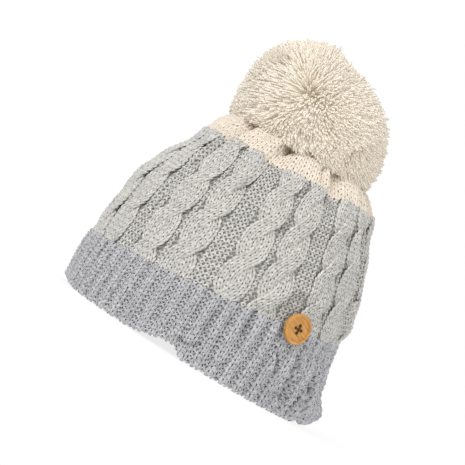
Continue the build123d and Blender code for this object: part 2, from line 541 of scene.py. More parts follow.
cuff_lower = knit_cuff("cuff_rib_lower", range(0, 8))
cuff_upper = knit_cuff("cuff_rib_upper", range(8, CUFF_ROWS))

# %% [markdown]
# ## The cables
# A rope cable is two strands of knit columns that pass over each other again and again. Each
# strand swings from side to side, comes forward as it crosses over and goes back as it
# crosses under. The ropes stand in pairs with one purl column between them, and a wider band
# of purl, which sinks back, parts one pair from the next.

# %% Knit the cables
REPEAT = STITCHES // REPEATS
STRAND = 3
CROSS_ROWS = 8.0
CABLE_MIDDLES = (3.0, 10.0)
PURL_COLUMNS = (6.0, 13.0, 14.0, 15.0, 16.0)


def swing(row, rope):
    """The phase of a rope at a row; each half turn is one crossing."""
    start = 1.5 + 2.7 * ((rope * 5) % 3)
    phase = (row - CUFF_ROWS + start) / CROSS_ROWS * np.pi
    return phase - 0.12 * np.sin(2 * phase)


def lay_strand(stitch, row, across, up, height, extra):
    """stitch counts from the strand's middle; extra is the rope, its middle and the side."""
    rope, middle, side = (part[:, None] for part in extra)
    level = row + up
    phase = swing(level, rope)
    inside = stitch + across
    narrow = 1.0 + 0.22 * np.abs(np.sin(phase))
    where = middle + side * 1.5 * np.cos(phase) + inside * narrow
    rounded = 1.05 * (np.sqrt(np.clip(1 - (inside / 2.2) ** 2, 0, 1)) - 0.6)
    cross = -side * 0.78 * np.sin(phase)
    settle = step_up(level, CUFF_ROWS - 0.5, CUFF_ROWS + 3)
    return on_form(where, level, height + (rounded + cross + 0.5) * settle)


def knit_strand(name, side):
    columns = np.arange(STRAND) - (STRAND - 1) / 2
    rows = np.arange(BODY_ROWS) + float(CUFF_ROWS)
    grid = np.meshgrid(columns, rows, np.arange(2 * REPEATS))
    stitch, row, rope = (part.ravel() for part in grid)
    middle = rope // 2 * REPEAT + np.where(rope % 2, CABLE_MIDDLES[1], CABLE_MIDDLES[0])
    extra = (rope, middle, side * np.where(rope % 2, -1.0, 1.0))
    parts = [(leg, stitch, row, extra) for leg in (knit_left, knit_right)]
    return knitted(name, parts, lay_strand)


strand_left = knit_strand("cable_strand_left", -1)
strand_right = knit_strand("cable_strand_right", 1)

# %% Knit the purl columns between the ropes
def lay_purls(stitch, row, across, up, height, extra):
    """A purl column, which sinks a little behind the ropes above the cuff."""
    level = row + up
    sink = 0.3 * step_up(level, CUFF_ROWS - 1, CUFF_ROWS + 2)
    return on_form(stitch + across, level, height - sink)


def knit_purls():
    columns = np.array(PURL_COLUMNS) + 0.5
    rows = np.arange(BODY_ROWS) + float(CUFF_ROWS)
    grid = np.meshgrid(columns, rows, np.arange(REPEATS))
    stitch, row, repeat = (part.ravel() for part in grid)
    where = stitch + repeat * REPEAT
    parts = [(length, where, row, None) for length in (purl_bump, purl_foot)]
    return knitted("purl_columns", parts, lay_purls)


purls = knit_purls()

# %% [markdown]
# ## The crown
# The crown is plain knit in cream yarn. A knitter decreases here, so it has fewer and fewer
# stitches: two thirds of them at first, then a third, then what the drawstring gathers.

# %% Knit the crown
def lay_crown(stitch, row, across, up, height, extra):
    where = (stitch + across) * extra
    return on_form(where, row + up, height)


def knit_crown(name, bands):
    parts = []
    for count, rows in bands:
        grid = np.meshgrid(np.arange(count) + 0.5, np.array(rows, float) + CUFF_ROWS + BODY_ROWS)
        stitch, row = (part.ravel() for part in grid)
        parts += [(leg, stitch, row, STITCHES / count) for leg in (knit_left, knit_right)]
    return knitted(name, parts, lay_crown)


crown = knit_crown("crown_stitches", [(102, range(0, 5)), (76, range(5, 11)), (38, range(11, 16))])

# %% [markdown]
# ## Behind the stitches
# Real knitting has a back: the loops' heads and feet lie behind the Vs and close the gaps. A
# smooth wall a little under the surface stands for them, in one piece for each yarn. Each is
# a closed loop of rows that runs up behind the stitches and down again as the inner face,
# which shows the knit's purl side as rows of small waves, with painted shade in the hollows
# between them.

# %% Build the wall and its inner face
BACKING_DEPTH = -0.8
INNER_DEPTH = -4.0


def ring_mesh(name, sheet, rows):
    """A mesh of rows that close round the hat, whose last row joins the first."""
    tall, around = sheet.shape[:2]
    number = np.arange(tall * around).reshape(tall, around)
    beside = np.roll(number, -1, 1)
    faces = np.stack([number, beside, np.roll(beside, -1, 0), np.roll(number, -1, 0)], -1)
    mesh = bpy.data.meshes.new(name)
    mesh.from_pydata((sheet.reshape(-1, 3) * MM).tolist(), [], faces.reshape(-1, 4).tolist())
    u0 = np.tile(np.arange(around) / around, (tall, 1))
    v0 = np.tile((np.arange(tall) / tall)[:, None], (1, around))
    u1, v1 = u0 + 1 / around, v0 + 1 / tall
    corners = [np.stack(corner, -1) for corner in ((u0, v0), (u1, v0), (u1, v1), (u0, v1))]
    corners = np.stack(corners, 2)
    for title, stretch in (("OFBake", (1, 1)), ("Yarn", (STITCHES, 2 * rows))):
        layer = mesh.uv_layers.new(name=title)
        layer.uv.foreach_set("vector", (corners * stretch).astype(np.float32).ravel())
    mesh.shade_smooth()
    print(name, "has", len(mesh.polygons), "faces")
    return add_object(name, mesh)


def build_wall(name, low, high):
    """A closed wall between two rows: up behind the stitches and down the inner face."""
    stitch = np.arange(0, STITCHES, 0.5)
    rows = np.arange(low, high + 0.01, 0.5)
    grid_stitch, grid_row = np.meshgrid(stitch, rows)
    relief = rib_relief(grid_stitch, grid_row)
    near = on_form(grid_stitch, grid_row, BACKING_DEPTH + relief)
    far = on_form(grid_stitch, grid_row, INNER_DEPTH - 0.5 * relief)
    return ring_mesh(name, np.concatenate([near, far[::-1]]), high - low)


BODY_TOP = CUFF_ROWS + BODY_ROWS
cuff_wall = build_wall("cuff_wall", 0, CUFF_ROWS)
body_wall = build_wall("body_wall", CUFF_ROWS, BODY_TOP)
crown_wall = build_wall("crown_wall", BODY_TOP, BODY_TOP + CROWN_ROWS)

# %% [markdown]
# ## Yarn as a material
# Wool and acrylic yarn scatter light softly and never shine. Three things make it read as
# yarn: the diagonal twist of its plies, as a bump with painted shade in the grooves between
# plies, the fine fibres along it, and small shifts of tone from stitch to stitch. They are
# shared by every yarn here, so they are one node group that each material places with its own
# values.

# %% Helpers for shader nodes
def add_node(nodes, kind, values=(), **settings):
    """A node with its settings, and the values of its inputs by their names or numbers."""
    node = nodes.new("ShaderNode" + kind)
    for title, value in settings.items():
        setattr(node, title, value)
    for socket, value in dict(values).items():
        node.inputs[socket].default_value = value
    return node


def join_values(links, pairs):
    """Gives each socket its value, which is a number, a colour or another node's output."""
    for socket, value in pairs:
        if isinstance(value, bpy.types.NodeSocket):
            links.new(value, socket)
        else:
            socket.default_value = value


def calculator(nodes, links):
    """A function that adds a math node to a tree and gives its output."""
    def math_node(operation, *values):
        node = add_node(nodes, "Math", operation=operation)
        join_values(links, zip(node.inputs, values))
        return node.outputs[0]

    return math_node


def press_in(nodes, links, height, shader, strength, distance):
    """Relief on a shader's surface, from a height."""
    relief = add_node(nodes, "Bump", {"Strength": strength, "Distance": distance})
    links.new(height, relief.inputs["Height"])
    links.new(relief.outputs["Normal"], shader.inputs["Normal"])


def new_material(name):
    """A material with its nodes, its links and its shader."""
    material = bpy.data.materials.new(name)
    material.use_nodes = True
    tree = material.node_tree
    return material, tree.nodes, tree.links, tree.nodes["Principled BSDF"]


def yarn_map(nodes, links):
    """How far along and how far around the yarn a point lies."""
    split = nodes.new("ShaderNodeSeparateXYZ")
    links.new(add_node(nodes, "UVMap", uv_map="Yarn").outputs[0], split.inputs[0])
    return split.outputs[0], split.outputs[1]


# %% Build the yarn group
def yarn_group():
    group = bpy.data.node_groups.new("Twisted yarn", "ShaderNodeTree")
    for title, kind, value in (
        ("Colour", "NodeSocketColor", (0.5, 0.5, 0.5, 1)),
        ("Fleck colour", "NodeSocketColor", (0.2, 0.2, 0.2, 1)),
        ("Fleck amount", "NodeSocketFloat", 0.3),
        ("Stitch tone", "NodeSocketFloat", 0.1),
        ("Twists", "NodeSocketFloat", 2.0),
    ):
        socket = group.interface.new_socket(title, in_out="INPUT", socket_type=kind)
        socket.default_value = value
    for title, kind in (("Colour", "Color"), ("Height", "Float"), ("Roughness", "Float")):
        group.interface.new_socket(title, in_out="OUTPUT", socket_type="NodeSocket" + kind)
    nodes, links = group.nodes, group.links
    given = nodes.new("NodeGroupInput").outputs
    result = nodes.new("NodeGroupOutput").inputs
    calc = calculator(nodes, links)

    def mixed(share, first, second, blend):
        node = add_node(nodes, "Mix", data_type="RGBA", blend_type=blend)
        join_values(links, zip((node.inputs[i] for i in (0, 6, 7)), (share, first, second)))
        return node.outputs[2]

    along, around = yarn_map(nodes, links)
    tone = add_node(nodes, "Attribute", attribute_name="tone").outputs["Fac"]
    slant = calc("ADD", calc("MULTIPLY", along, given["Twists"]), calc("MULTIPLY", around, 2.0))
    ply = calc("SINE", calc("MULTIPLY", slant, math.tau))

    # Fibres run along the yarn, so their noise is read on a thread that is far longer than wide.
    wound = calc("MULTIPLY", slant, math.pi)
    lengthwise = calc("ADD", calc("MULTIPLY", along, 1.3), calc("MULTIPLY", tone, 60.0))
    thread = nodes.new("ShaderNodeCombineXYZ")
    links.new(calc("MULTIPLY", calc("SINE", wound), 2.2), thread.inputs[0])
    links.new(calc("MULTIPLY", calc("COSINE", wound), 2.2), thread.inputs[1])
    links.new(lengthwise, thread.inputs[2])
    fibre = add_node(nodes, "TexNoise", {"Scale": 3.2, "Detail": 3})
    links.new(thread.outputs[0], fibre.inputs["Vector"])
    fibre = fibre.outputs[0]

    # Flecks are dark fibres carded into the wool, and they ignore the stitches.
    place = nodes.new("ShaderNodeTexCoord")
    heather = add_node(nodes, "TexNoise", {"Scale": 520, "Detail": 4, "Roughness": 0.7})
    links.new(place.outputs["Object"], heather.inputs["Vector"])
    fleck = add_node(nodes, "MapRange", {"From Min": 0.47, "From Max": 0.62})
    links.new(heather.outputs[0], fleck.inputs["Value"])
    flecks = calc("MULTIPLY", fleck.outputs[0], given["Fleck amount"])
    flecked = mixed(flecks, given["Colour"], given["Fleck colour"], "MIX")

    shade = calc("ADD", 1.0, calc("MULTIPLY", calc("SUBTRACT", tone, 0.5), given["Stitch tone"]))
    # Painted shade: the colour follows the ply twist, a little darker in the grooves between the plies
    # where the bump sinks and lighter on each ply.
    shade = calc("ADD", shade, calc("MULTIPLY", ply, 0.07))
    shade = calc("ADD", shade, calc("MULTIPLY", calc("SUBTRACT", fibre, 0.5), 0.5))
    grey = nodes.new("ShaderNodeCombineColor")
    join_values(links, ((socket, shade) for socket in grey.inputs))
    links.new(mixed(1.0, flecked, grey.outputs[0], "MULTIPLY"), result["Colour"])
    height = calc("ADD", calc("MULTIPLY", ply, 0.5), calc("MULTIPLY", fibre, 0.9))
    links.new(height, result["Height"])
    links.new(calc("ADD", 0.78, calc("MULTIPLY", fibre, 0.2)), result["Roughness"])
    return group


twisted_yarn = yarn_group()


def purl_group():
    """Wavy ridges, one to a row, as the back of plain knitting has."""
    group = bpy.data.node_groups.new("Purl rows", "ShaderNodeTree")
    group.interface.new_socket("Height", in_out="OUTPUT", socket_type="NodeSocketFloat")
    calc = calculator(group.nodes, group.links)
    around, up = yarn_map(group.nodes, group.links)
    side = calc("COSINE", calc("MULTIPLY", around, math.tau))
    bend = calc("MULTIPLY_ADD", side, 0.22, up)
    ridges = calc("SINE", calc("MULTIPLY", bend, math.tau))
    group.links.new(ridges, group.nodes.new("NodeGroupOutput").inputs["Height"])
    return group


purl_rows = purl_group()

# %% Mix the yarns
def add_purl_rows(material):
    """A copy of a yarn material for the wall: the same yarn, with purl rows pressed into it and painted
    shade darkening the hollows between them.
    """
    copy = material.copy()
    copy.name = material.name + " back"
    nodes, links = copy.node_tree.nodes, copy.node_tree.links
    shader = nodes["Principled BSDF"]
    rows = add_node(nodes, "Group", node_tree=purl_rows).outputs["Height"]
    # Painted shade: the yarn's colour is multiplied down to 0.45 in the hollows between the purl rows.
    shade = add_node(nodes, "MapRange", {"From Min": -1.0, "To Min": 0.45})
    links.new(rows, shade.inputs["Value"])
    deep = add_node(nodes, "Mix", data_type="RGBA", blend_type="MULTIPLY")
    deep.inputs[0].default_value = 1.0
    links.new(shader.inputs["Base Color"].links[0].from_socket, deep.inputs[6])
    links.new(shade.outputs[0], deep.inputs[7])
    links.new(deep.outputs[2], shader.inputs["Base Color"])
    press_in(nodes, links, rows, shader, 0.8, YARN_RELIEF)
    return copy


YARN_RELIEF = 0.0007
THREAD_RELIEF = 0.0001


def yarn_material(name, colour, fleck, flecks, tone=0.12, twists=1.5, sheen=0.25, bump=YARN_RELIEF):
    material, nodes, links, shader = new_material(name)
    group = add_node(nodes, "Group", node_tree=twisted_yarn)
    group.inputs["Colour"].default_value = (*colour, 1)
    group.inputs["Fleck colour"].default_value = (*fleck, 1)
    group.inputs["Fleck amount"].default_value = flecks
    group.inputs["Stitch tone"].default_value = tone
    group.inputs["Twists"].default_value = twists
    links.new(group.outputs["Colour"], shader.inputs["Base Color"])
    links.new(group.outputs["Roughness"], shader.inputs["Roughness"])
    press_in(nodes, links, group.outputs["Height"], shader, 0.6, bump)
    shader.inputs["Sheen Weight"].default_value = sheen
    shader.inputs["Sheen Roughness"].default_value = 0.5
    shader.inputs["Specular IOR Level"].default_value = 0.2
    return material


DARK_FLECK = (0.19, 0.19, 0.20)
BROWN_FLECK = (0.26, 0.25, 0.23)
grey_yarn = yarn_material("Grey rib yarn", (0.55, 0.55, 0.565), DARK_FLECK, 0.7, tone=0.17)
pale_yarn = yarn_material("Pale grey cable yarn", (0.655, 0.64, 0.60), BROWN_FLECK, 0.6, tone=0.16)
cream_yarn = yarn_material("Cream crown yarn", (0.82, 0.73, 0.615), (0.66, 0.54, 0.42), 0.3)
pompom_material = yarn_material(
    "Pompom yarn", (0.85, 0.775, 0.655), (0.76, 0.66, 0.52), 0.2, tone=0.07, sheen=0.3
)

# %% [markdown]
# Light that enters the pompom is scattered from ply to ply and comes out again warm, which
# a tube with a plain surface can't do. A weak glow of its own stands for that light.

# %% Dress the cap
light_inside = pompom_material.node_tree.nodes["Principled BSDF"]
light_inside.inputs["Emission Color"].default_value = (1.0, 0.89, 0.74, 1)
light_inside.inputs["Emission Strength"].default_value = 0.15


def finish_piece(piece, material, body, slot, *nodes):
    """Gives a piece its material, the body it moves with and the CAD nodes it stands for."""
    piece.data.materials.append(material)
    if body:
        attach(piece, body)
    if nodes:
        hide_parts(*nodes)
    return piece


for piece in (cuff_lower, cuff_upper):
    finish_piece(piece, grey_yarn, "cap", "grey_rib_yarn", "rib_cuff")
for piece in (strand_left, strand_right, purls):
    finish_piece(piece, pale_yarn, "cap", "pale_grey_cable_yarn", "cable_body")
finish_piece(crown, cream_yarn, "cap", "cream_crown_yarn", "crown_knit")
finish_piece(cuff_wall, add_purl_rows(grey_yarn), "cap", "grey_rib_yarn", "rib_cuff")
finish_piece(body_wall, add_purl_rows(pale_yarn), "cap", "pale_grey_cable_yarn", "cable_body")
finish_piece(crown_wall, add_purl_rows(cream_yarn), "cap", "cream_crown_yarn", "crown_knit")
print("the cap is dressed")

# %% [markdown]
# ## The pompom
# A pompom is a bundle of yarn bound round its middle and cut, so that the ends spring out in
# every direction. Trimming leaves it nearly round, but the ends lean together in tufts and
# each cut end opens into its plies. Every ply here is a thin tapered tube that starts near
# the core and bends with its tuft.

# %% Shape the ball and its tufts
PLY_COUNT = 32000
TUFT_COUNT = 190
PLY_LIMIT = 0.56
PLY_REACH = 30.0


def spread_directions(count):
    """Directions spread evenly over a ball, along a golden spiral."""
    number = np.arange(count) + 0.5
    up = 1 - 2 * number / count
    angle = np.pi * (1 + 5**0.5) * number
    level = np.sqrt(1 - up * up)
    return np.stack([level * np.cos(angle), level * np.sin(angle), up], 1)


def facing(turn, rise):
    """A direction from the ball's middle, by its turn from +X towards +Z and its rise to -Y."""
    turn, rise = np.radians(turn), np.radians(rise)
    return np.array([np.cos(turn) * np.cos(rise), -np.sin(rise), np.sin(turn) * np.cos(rise)])


def towards(direction, turn, rise, spread):
    apart_by = np.degrees(np.arccos(np.clip(direction @ facing(turn, rise), -1, 1)))
    return np.exp(-((apart_by / spread) ** 2))


def ball_reach(direction):
    """How far the trimmed ends reach: two uneven lobes with a notch between them."""
    reach = np.full(len(direction), ball_radius * 0.97)
    reach += 7.4 * towards(direction, 138, 0, 31)
    reach += 3.2 * towards(direction, 190, 0, 32)
    reach -= 8.8 * towards(direction, 58, 0, 34)
    reach -= 3.6 * towards(direction, 6, 0, 34)
    notch = np.abs(apart(np.degrees(np.arctan2(direction[:, 2], direction[:, 0])), 98))
    reach -= 4.5 * hump(notch, 0, 6) * step_up(direction[:, 2], 0.5, 0.8)
    return reach


PARTINGS = ((-95, -14, 4.0), (-66, -9, 3.0), (-104, -4, 2.2), (-128, 8, 2.0), (-35, 4, 2.0))


def part_tufts(direction):
    """Pushes the ends away from a few partings, which leaves small dark gaps between tufts."""
    for around, rise, width in PARTINGS:
        around, rise = math.radians(around), math.radians(rise)
        level = math.cos(rise)
        middle = np.array((math.cos(around) * level, math.sin(around) * level, math.sin(rise)))
        away = direction - middle
        far = np.linalg.norm(away, axis=1, keepdims=True)
        push = math.radians(width) * np.exp(-((far / math.radians(2.2 * width)) ** 2))
        direction = direction + away / np.maximum(far, 1e-6) * push
    return direction / np.linalg.norm(direction, axis=1, keepdims=True)


def tuft_lean(direction):
    """A slow random lean that neighbouring ends share."""
    centres = spread_directions(TUFT_COUNT)
    centres = centres + chance.normal(0, 0.08, centres.shape)
    leans = chance.normal(0, 1, centres.shape)
    near = np.exp((direction @ centres.T - 1) * 55)
    lean = near @ leans / near.sum(1, keepdims=True)
    lean -= (lean * direction).sum(1, keepdims=True) * direction
    return lean


def crown_height(radius):
    """Top of the crown's stitches at a distance from the axis."""
    order = np.argsort(outline[:, 0])
    return np.interp(radius, outline[order, 0], outline[order, 1], right=0) + 2.2


def ply_places(length):
    """Bends every ply from its root to its cut end, clear of the crown."""
    direction = spread_directions(PLY_COUNT)
    direction = direction + chance.normal(0, 0.018, direction.shape)
    direction /= np.linalg.norm(direction, axis=1, keepdims=True)
    around = np.degrees(np.arctan2(direction[:, 1], direction[:, 0]))
    limit = PLY_LIMIT - 0.30 * hump(apart(around, -90), 0, 42)
    direction = part_tufts(direction[direction[:, 2] > -limit])
    count = len(direction)
    reach = ball_reach(direction) + chance.normal(0, 0.6, count)
    middle = np.array([0, 0, ball_centre])
    root = middle + (-2, 0, 17)
    tip = middle + direction * reach[:, None]
    lean = tuft_lean(direction) * 9.0 + chance.normal(0, 1.1, (count, 3))
    points = length[0]
    along = np.clip(points[:, 2] / PLY_REACH, 0, None)
    spine = root + (tip - root)[:, None] * (0.42 + 0.58 * along)[None, :, None]
    spine = spine + lean[:, None] * (along**2.5)[None, :, None]
    side = np.cross(tip - root, (0.3, 0.2, 1.0))
    side /= np.linalg.norm(side, axis=1, keepdims=True)
    other = np.cross(tip - root, side)
    other /= np.linalg.norm(other, axis=1, keepdims=True)
    turn = chance.random(count)[:, None, None] * math.tau
    first = side[:, None] * np.cos(turn) + other[:, None] * np.sin(turn)
    second = other[:, None] * np.cos(turn) - side[:, None] * np.sin(turn)
    places = spine + first * points[None, :, 0, None] + second * points[None, :, 1, None]
    floor = crown_height(np.hypot(places[..., 0], places[..., 1])) + 1.0
    lifted = floor + 0.1 * (places[..., 2] - floor)
    places[..., 2] = np.where(places[..., 2] < floor, lifted, places[..., 2])
    return direction, places


ply_path = [(0, 0, 0), (0.6, 0.2, 11), (-0.5, 0.4, 21), (0, 0, PLY_REACH)]
ply_length = yarn_length(ply_path, [0.5, 0.7, 0.82, 0.78], 3)
ply_direction, ply_spots = ply_places(ply_length)
upper = ply_direction[:, 2] > 0.45
lower = ply_direction[:, 2] < -0.12
belt = ~upper & ~lower
pompom_top = yarn_mesh("pompom_top", [(ply_length, ply_spots[upper])])
pompom_belt = yarn_mesh("pompom_belt", [(ply_length, ply_spots[belt])])
pompom_skirt = yarn_mesh("pompom_skirt", [(ply_length, ply_spots[lower])])

# %% [markdown]
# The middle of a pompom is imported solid, and light doesn't pass through it. A rough dark
# ball inside the plies does that job, so no gap between tufts shows the far side.

# %% Pack the pompom's heart
def bmesh_piece(name, mesh):
    data = bpy.data.meshes.new(name)
    mesh.to_mesh(data)
    mesh.free()
    data.transform(Matrix.Scale(MM, 4))
    data.shade_smooth()
    print(name, "has", len(data.polygons), "faces")
    return add_object(name, data)


HEART_SHARE = 0.64


def pompom_heart():
    """A rough ball, whose underside rises outwards so that it can sway over the crown."""
    mesh = bmesh.new()
    bmesh.ops.create_icosphere(mesh, subdivisions=5, radius=ball_radius * HEART_SHARE)
    core_low = in_mm("pompom_core")[0][2] - ball_centre
    for vert in mesh.verts:
        x, y, z = vert.co
        vert.co *= 1 + 0.025 * math.sin(x * 1.9) * math.sin(y * 2.1) * math.sin(z * 1.7)
        low = core_low + 0.24 * math.hypot(vert.co.x, vert.co.y)
        vert.co.z = max(vert.co.z, low)
    bmesh.ops.translate(mesh, verts=mesh.verts, vec=(0, 0, ball_centre))
    return bmesh_piece("pompom_heart", mesh)


heart = pompom_heart()
for piece in (pompom_top, heart):
    finish_piece(piece, pompom_material, "pompom", "pompom_yarn", "pompom_yarn", "pompom_core")
for piece in (pompom_belt, pompom_skirt):
    finish_piece(piece, pompom_material, None, "pompom_yarn", "pompom_yarn")
    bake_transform(piece)

# %% [markdown]
# ## What ties it all
# The crown's last loops sit on a drawstring, and the pompom hangs from a doubled yarn that
# passes through the hole, is knotted inside, and ends in two tails. These are plied cords:
# two plies wound round a path, each one a length of yarn as before.

# %% Wind plied cords
def plied(path, radius, pitch, plies=2, sides=6):
    """Plies that wind round a path, each as a length of yarn."""
    path = np.array(path, float)
    forward, side, out = carried_frames(path)
    along = np.concatenate([[0], np.cumsum(np.linalg.norm(np.diff(path, axis=0), axis=1))])
    lengths = []
    for ply in range(plies):
        angle = (along / pitch + ply / plies) * math.tau
        aside = side * np.cos(angle)[:, None] + out * np.sin(angle)[:, None]
        widths = np.full(len(path), radius * 0.56)
        lengths.append(yarn_length(path + aside * radius * 0.48, widths, sides))
    return lengths


def cord_piece(name, cords):
    return yarn_mesh(name, [(length, length[0][None]) for length in cords])


def ring_path(radius, height, points=96):
    angle = np.linspace(0, math.tau, points)
    return np.stack([radius * np.cos(angle), radius * np.sin(angle), np.full(points, height)], 1)


gather_low, gather_high = in_mm("gather_yarn")
gather_radius = (gather_high[2] - gather_low[2]) / 2
gather_path = ring_path(gather_high[0] - gather_radius, gather_low[2] + gather_radius)
gather = cord_piece("crown_drawstring", plied(gather_path, gather_radius, 7.2))


def tail_path(side):
    low, high = in_mm("tie_tails")
    drop = np.linspace(0, 1, 60)
    spread = side * (1.0 + 1.2 * drop**1.5)
    sway = 0.6 * np.sin(drop * 7 + side)
    level = high[2] + (low[2] + 0.8 - high[2]) * drop
    return np.stack([spread, sway * drop, level], 1)


tails = cord_piece("tie_tails_yarn", plied(tail_path(-1), 1.1, 5) + plied(tail_path(1), 1.1, 5))


def knot_cords():
    """Three turns round the tails and one that crosses over them."""
    low, high = in_mm("tie_knot")
    middle = (low + high) / 2
    cords = []
    for lift, reach, lean in ((-2.4, 3.3, 0.25), (0.1, 3.7, -0.2), (2.5, 3.3, 0.3)):
        ring = ring_path(reach, 0, 48)
        ring[:, 2] += lift + lean * ring[:, 0]
        cords += plied(ring + middle, 1.45, 5)
    ring = ring_path(3.6, 0, 48)
    upright = np.stack([ring[:, 0] * 0.75, ring[:, 2] + 0.4 * ring[:, 0], ring[:, 1]], 1)
    cords += plied(upright + middle, 1.3, 5)
    return cords


knot = cord_piece("tie_knot_yarn", knot_cords())
tie_yarn = yarn_material("Cream tie yarn", (0.84, 0.77, 0.66), (0.70, 0.60, 0.47), 0.25, twists=10.0)
finish_piece(gather, tie_yarn, "cap", "cream_crown_yarn", "gather_yarn")
finish_piece(tails, tie_yarn, "pompom_tie", "cream_tie_yarn", "tie_tails")
finish_piece(knot, tie_yarn, "pompom_tie", "cream_tie_yarn", "tie_knot")

# %% [markdown]
# ## The button
# A turned wooden button with a rim, a shallow dish and four holes. Its shape comes from the
# CAD part as it is; what it lacks is wood. Thread goes through the holes in a cross, winds
# round itself behind the button as a shank, and is knotted inside the hat.

# %% Sew the button on
button_turn = math.radians(BUTTON_TURN)
shank_low, shank_high = in_mm("button_shank")
anchor_low, anchor_high = in_mm("button_anchor")
button_low, button_high = in_mm("wooden_button")
button_middle = (button_low + button_high) / 2
shank_middle = (shank_low + shank_high) / 2
anchor_middle = (anchor_low + anchor_high) / 2
spin_joint = next(joint for joint in frame["joints"] if joint["name"] == "button_spin")
button_out = np.array(spin_joint["axis"], float)
button_out /= np.linalg.norm(button_out)
button_side = np.cross((0, 0, 1), button_out)
button_side /= np.linalg.norm(button_side)
button_up = np.cross(button_out, button_side)


def at_button(middle, side, up, out):
    """A place measured from a middle point, sideways, upwards and outwards of the button."""
    side, up, out = np.broadcast_arrays(side, up, out)
    return middle + np.stack([side, up, out], -1) @ np.stack([button_side, button_up, button_out])


def coil_path(middle, reach, low, high, turns, points=160):
    angle = np.linspace(0, turns * math.tau, points)
    outward = np.linspace(low, high, points)
    return at_button(middle, reach * np.cos(angle), reach * np.sin(angle), outward)


def thread_path(start, end, middle, top, deep):
    """Up through one hole, across the dish and down through the other."""
    share = np.linspace(0, 1, 40)
    bend = np.minimum(np.minimum(share, 1 - share) * 4, 1)
    out = -deep + (deep + top) * np.sin(bend * math.pi / 2)
    across = step_up(share, 0.12, 0.88)
    side, up = (low + (high - low) * across for low, high in zip(start, end))
    return at_button(middle, side, up, out)


HOLE = 3.5
THREADS_APART = 0.4
cross = []
for shift in (-THREADS_APART, 0.0, THREADS_APART):
    cross += plied(thread_path((-HOLE, shift), (HOLE, shift), button_middle, 1.35, 1.6), 0.26, 1.2)
for shift in (-THREADS_APART, 0.0, THREADS_APART):
    cross += plied(thread_path((shift, -HOLE), (shift, HOLE), button_middle, 1.75, 1.6), 0.26, 1.2)
button_cross = cord_piece("button_cross_thread", cross)
shank_coil = plied(coil_path(shank_middle, 1.95, -1.0, 1.0, 4), 0.55, 2.4)
shank_core = plied(coil_path(shank_middle, 0.8, -1.1, 1.1, 2), 0.7, 2.4)
shank = cord_piece("button_shank_thread", shank_coil + shank_core)
anchor_knot = plied(coil_path(anchor_middle, 1.5, -3.6, -2.2, 3), 0.7, 2.4)
anchor_core = plied(coil_path(anchor_middle, 0.5, -3.2, 3.6, 1), 0.7, 2.4)
anchor = cord_piece("button_anchor_thread", anchor_knot + anchor_core)
BROWN, DARK_BROWN = (0.115, 0.062, 0.03), (0.05, 0.026, 0.012)
THREAD = {"sheen": 0.1, "bump": THREAD_RELIEF}
thread_material = yarn_material("Brown thread", BROWN, DARK_BROWN, 0.4, twists=8.0, **THREAD)
finish_piece(button_cross, thread_material, "button", "brown_thread", "button_thread")
finish_piece(shank, thread_material, "shank", "brown_thread", "button_shank")
finish_piece(anchor, thread_material, "cap", "brown_thread", "button_anchor")

# %% [markdown]
# Wood shows its grain as streaks that run one way across the button. The pattern is laid along
# the button by turning the object's coordinates with a Mapping node, and is stretched along it.

# %% Grain the wooden button
def wood_material():
    material, nodes, links, shader = new_material("Turned button wood")
    place = nodes.new("ShaderNodeTexCoord")
    turn = add_node(nodes, "Mapping", vector_type="TEXTURE")
    turn.inputs["Location"].default_value = button_middle * MM
    turn.inputs["Rotation"].default_value = (0.2, 0.35, button_turn)
    links.new(place.outputs["Object"], turn.inputs["Vector"])
    stretch = add_node(nodes, "VectorMath", {1: (90, 900, 900)}, operation="MULTIPLY")
    links.new(turn.outputs[0], stretch.inputs[0])
    grain = add_node(nodes, "TexNoise", {"Scale": 1.0, "Detail": 6, "Distortion": 0.4})
    links.new(stretch.outputs[0], grain.inputs["Vector"])
    ramp = nodes.new("ShaderNodeValToRGB")
    dark, light = ramp.color_ramp.elements
    dark.position, dark.color = 0.3, (0.36, 0.16, 0.038, 1)
    light.position, light.color = 0.72, (0.72, 0.37, 0.10, 1)
    links.new(grain.outputs[0], ramp.inputs[0])
    links.new(ramp.outputs[0], shader.inputs["Base Color"])
    press_in(nodes, links, grain.outputs[0], shader, 0.35, THREAD_RELIEF)
    shader.inputs["Roughness"].default_value = 0.5
    shader.inputs["Specular IOR Level"].default_value = 0.35
    return material


button_wood = wood_material()
wooden_button = frame["nodes"]["wooden_button"]
for spot in wooden_button.material_slots:
    spot.material = button_wood
print("the button is", np.round(button_high - button_low, 1), "mm across its box")

# %% [markdown]
# ## Inside the brim
# A blank care label of satin tape, folded double, is caught at its top by a line of small
# stitches, and the seam that closes the knitting runs up the back in slanting stitches.

# %% Fold the label and sew the seam
flap_joint = next(joint for joint in frame["joints"] if joint["name"] == "label_flap")
label_top = np.array(flap_joint["pos_m"]) / MM
label_along = np.array(flap_joint["axis"], float)
label_inward = np.cross(label_along, (0, 0, 1.0))
label_inward *= -np.sign(label_inward @ label_top)
label_low, label_high = in_mm("care_label")
LABEL_WIDTH = 24.0
LABEL_DROP = label_high[2] - label_low[2]
FOLD_RADIUS = 0.22


